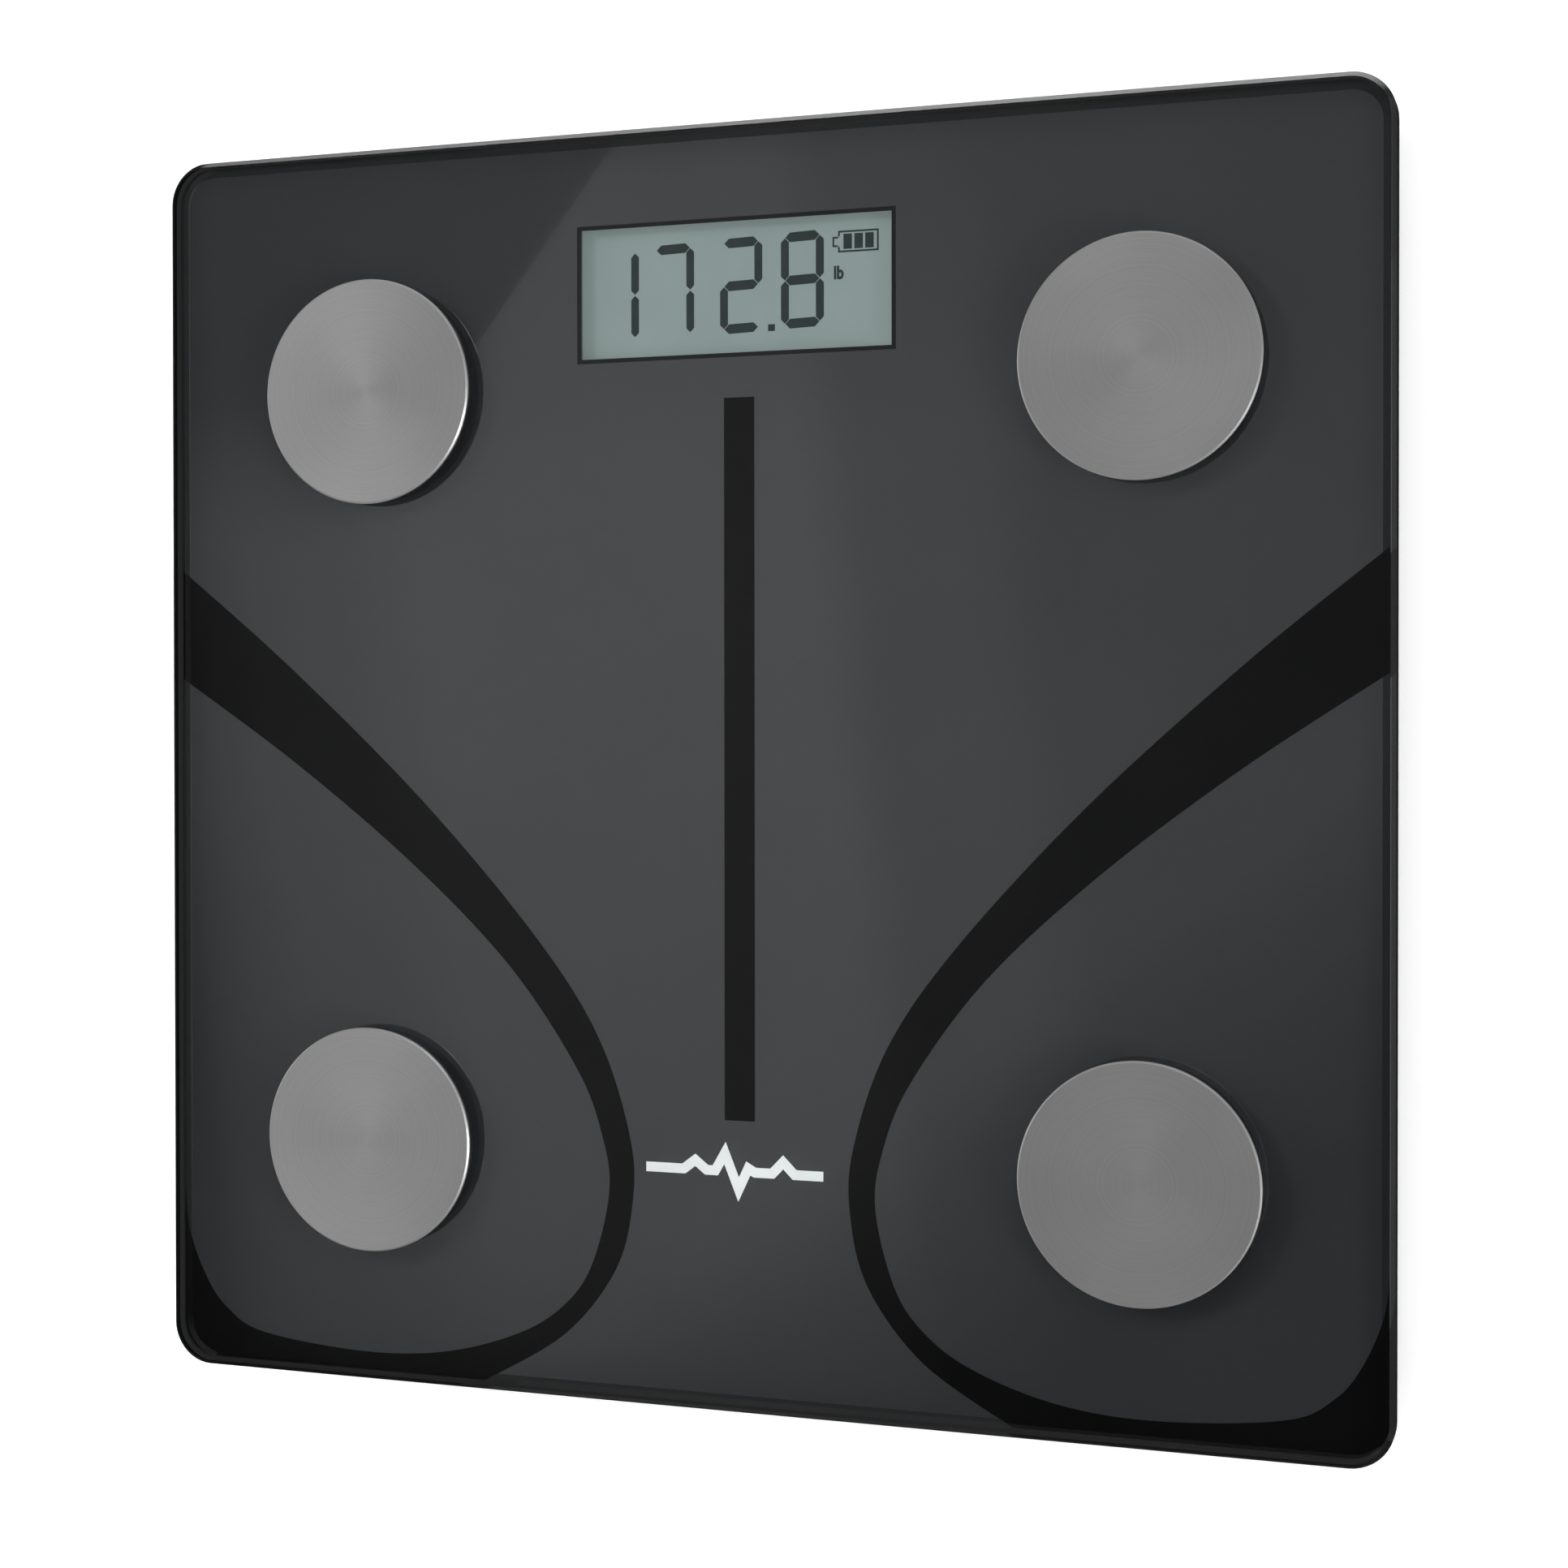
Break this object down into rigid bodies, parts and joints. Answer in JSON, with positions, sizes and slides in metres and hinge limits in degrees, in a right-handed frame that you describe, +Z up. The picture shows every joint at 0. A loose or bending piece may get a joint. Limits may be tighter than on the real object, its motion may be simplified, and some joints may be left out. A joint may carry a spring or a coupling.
{
  "type": "digital bathroom scale",
  "caption": "Square glass-topped digital bathroom scale with display, steel electrode discs, load-cell feet, unit button and battery door.",
  "frame": {"origin": "middle of the footprint on the floor plane under the feet", "axes": "+Z up through the glass, +Y towards the display (toe end), +X to the right of a person facing the display"},
  "size_m": [0.3, 0.3, 0.0267],
  "materials": {
    "clear_glass": "clear tempered glass, bevelled and polished edges",
    "ground_edge": "ground and darkened side wall of the glass",
    "grey_print": "charcoal back print",
    "band_print": "black back print",
    "white_print": "white back print",
    "foam_tape": "black foam adhesive tape",
    "brushed_stainless": "concentric turned satin stainless steel",
    "plated_steel": "bright nickel plating",
    "cell_steel": "plated spring steel",
    "black_abs": "fine-textured moulded ABS",
    "dark_plastic": "smooth moulded plastic",
    "lcd_grey": "reflective liquid-crystal panel",
    "lcd_ink": "dark display segments",
    "soft_rubber": "matt rubber",
    "board_green": "solder-masked circuit board",
    "chip_black": "epoxy",
    "white_nylon": "natural nylon",
    "battery_wrap": "plain printed sleeve",
    "wire_red": "PVC insulation",
    "wire_black": "PVC insulation"
  },
  "bodies": {
    "platform": {"glass_platform": "clear_glass", "printed_film": "grey_print", "platform_tape": "foam_tape", "electrode_tape_rings": "foam_tape", "electrode_nuts": "plated_steel", "electrode_terminals": "plated_steel", "base_tray": "black_abs", "lcd_panel": "lcd_grey", "lcd_bezel": "dark_plastic", "lcd_contact_strips": "soft_rubber", "circuit_board": "board_green", "board_screws": "plated_steel", "controller_chip": "chip_black", "radio_module": "plated_steel", "lead_sockets": "white_nylon", "switch_housing": "chip_black", "battery_1": "battery_wrap", "battery_2": "battery_wrap", "battery_3": "battery_wrap", "battery_springs": "plated_steel", "battery_contact_plates": "plated_steel", "battery_lead_plus": "wire_red", "battery_lead_minus": "wire_black", "electrode_toe_left": "brushed_stainless", "load_cell_toe_left": "cell_steel", "load_cell_retainer_toe_left": "dark_plastic", "load_cell_lead_toe_left": "wire_black", "electrode_lead_toe_left": "wire_red", "electrode_toe_right": "brushed_stainless", "load_cell_toe_right": "cell_steel", "load_cell_retainer_toe_right": "dark_plastic", "load_cell_lead_toe_right": "wire_black", "electrode_lead_toe_right": "wire_red", "electrode_heel_left": "brushed_stainless", "load_cell_heel_left": "cell_steel", "load_cell_retainer_heel_left": "dark_plastic", "load_cell_lead_heel_left": "wire_black", "electrode_lead_heel_left": "wire_red", "electrode_heel_right": "brushed_stainless", "load_cell_heel_right": "cell_steel", "load_cell_retainer_heel_right": "dark_plastic", "load_cell_lead_heel_right": "wire_black", "electrode_lead_heel_right": "wire_red"},
    "foot_toe_left": {"foot_cup_toe_left": "black_abs", "foot_pad_toe_left": "soft_rubber"},
    "foot_toe_right": {"foot_cup_toe_right": "black_abs", "foot_pad_toe_right": "soft_rubber"},
    "foot_heel_left": {"foot_cup_heel_left": "black_abs", "foot_pad_heel_left": "soft_rubber"},
    "foot_heel_right": {"foot_cup_heel_right": "black_abs", "foot_pad_heel_right": "soft_rubber"},
    "unit_button": {"unit_button": "dark_plastic"},
    "switch_plunger": {"switch_plunger": "white_nylon"},
    "battery_door": {"battery_door": "black_abs"}
  },
  "joints": [
    {"name": "foot_rock_toe_left", "type": "hinge", "parent": "platform", "child": "foot_toe_left", "pos_m": [-0.115, 0.115, 0.0071], "axis": [1, 0, 0], "range_deg": [-1.5, 1.5]},
    {"name": "foot_rock_toe_right", "type": "hinge", "parent": "platform", "child": "foot_toe_right", "pos_m": [0.115, 0.115, 0.0071], "axis": [1, 0, 0], "range_deg": [-1.5, 1.5]},
    {"name": "foot_rock_heel_left", "type": "hinge", "parent": "platform", "child": "foot_heel_left", "pos_m": [-0.115, -0.115, 0.0071], "axis": [1, 0, 0], "range_deg": [-1.5, 1.5]},
    {"name": "foot_rock_heel_right", "type": "hinge", "parent": "platform", "child": "foot_heel_right", "pos_m": [0.115, -0.115, 0.0071], "axis": [1, 0, 0], "range_deg": [-1.5, 1.5]},
    {"name": "unit_button_press", "type": "slide", "parent": "platform", "child": "unit_button", "axis": [0, 0, 1], "range_m": [0, 0.0004], "stiffness_N_per_m": 2500},
    {"name": "switch_plunger_press", "type": "slide", "parent": "platform", "child": "switch_plunger", "axis": [0, 0, 1], "range_m": [0, 0.0004]},
    {"name": "battery_door_hinge", "type": "hinge", "parent": "platform", "child": "battery_door", "pos_m": [0, 0.024, 0.0068], "axis": [1, 0, 0], "range_deg": [-95, 0]}
  ],
  "couplings": [
    {"joint": "switch_plunger_press", "follows": "unit_button_press", "ratio": 1}
  ]
}
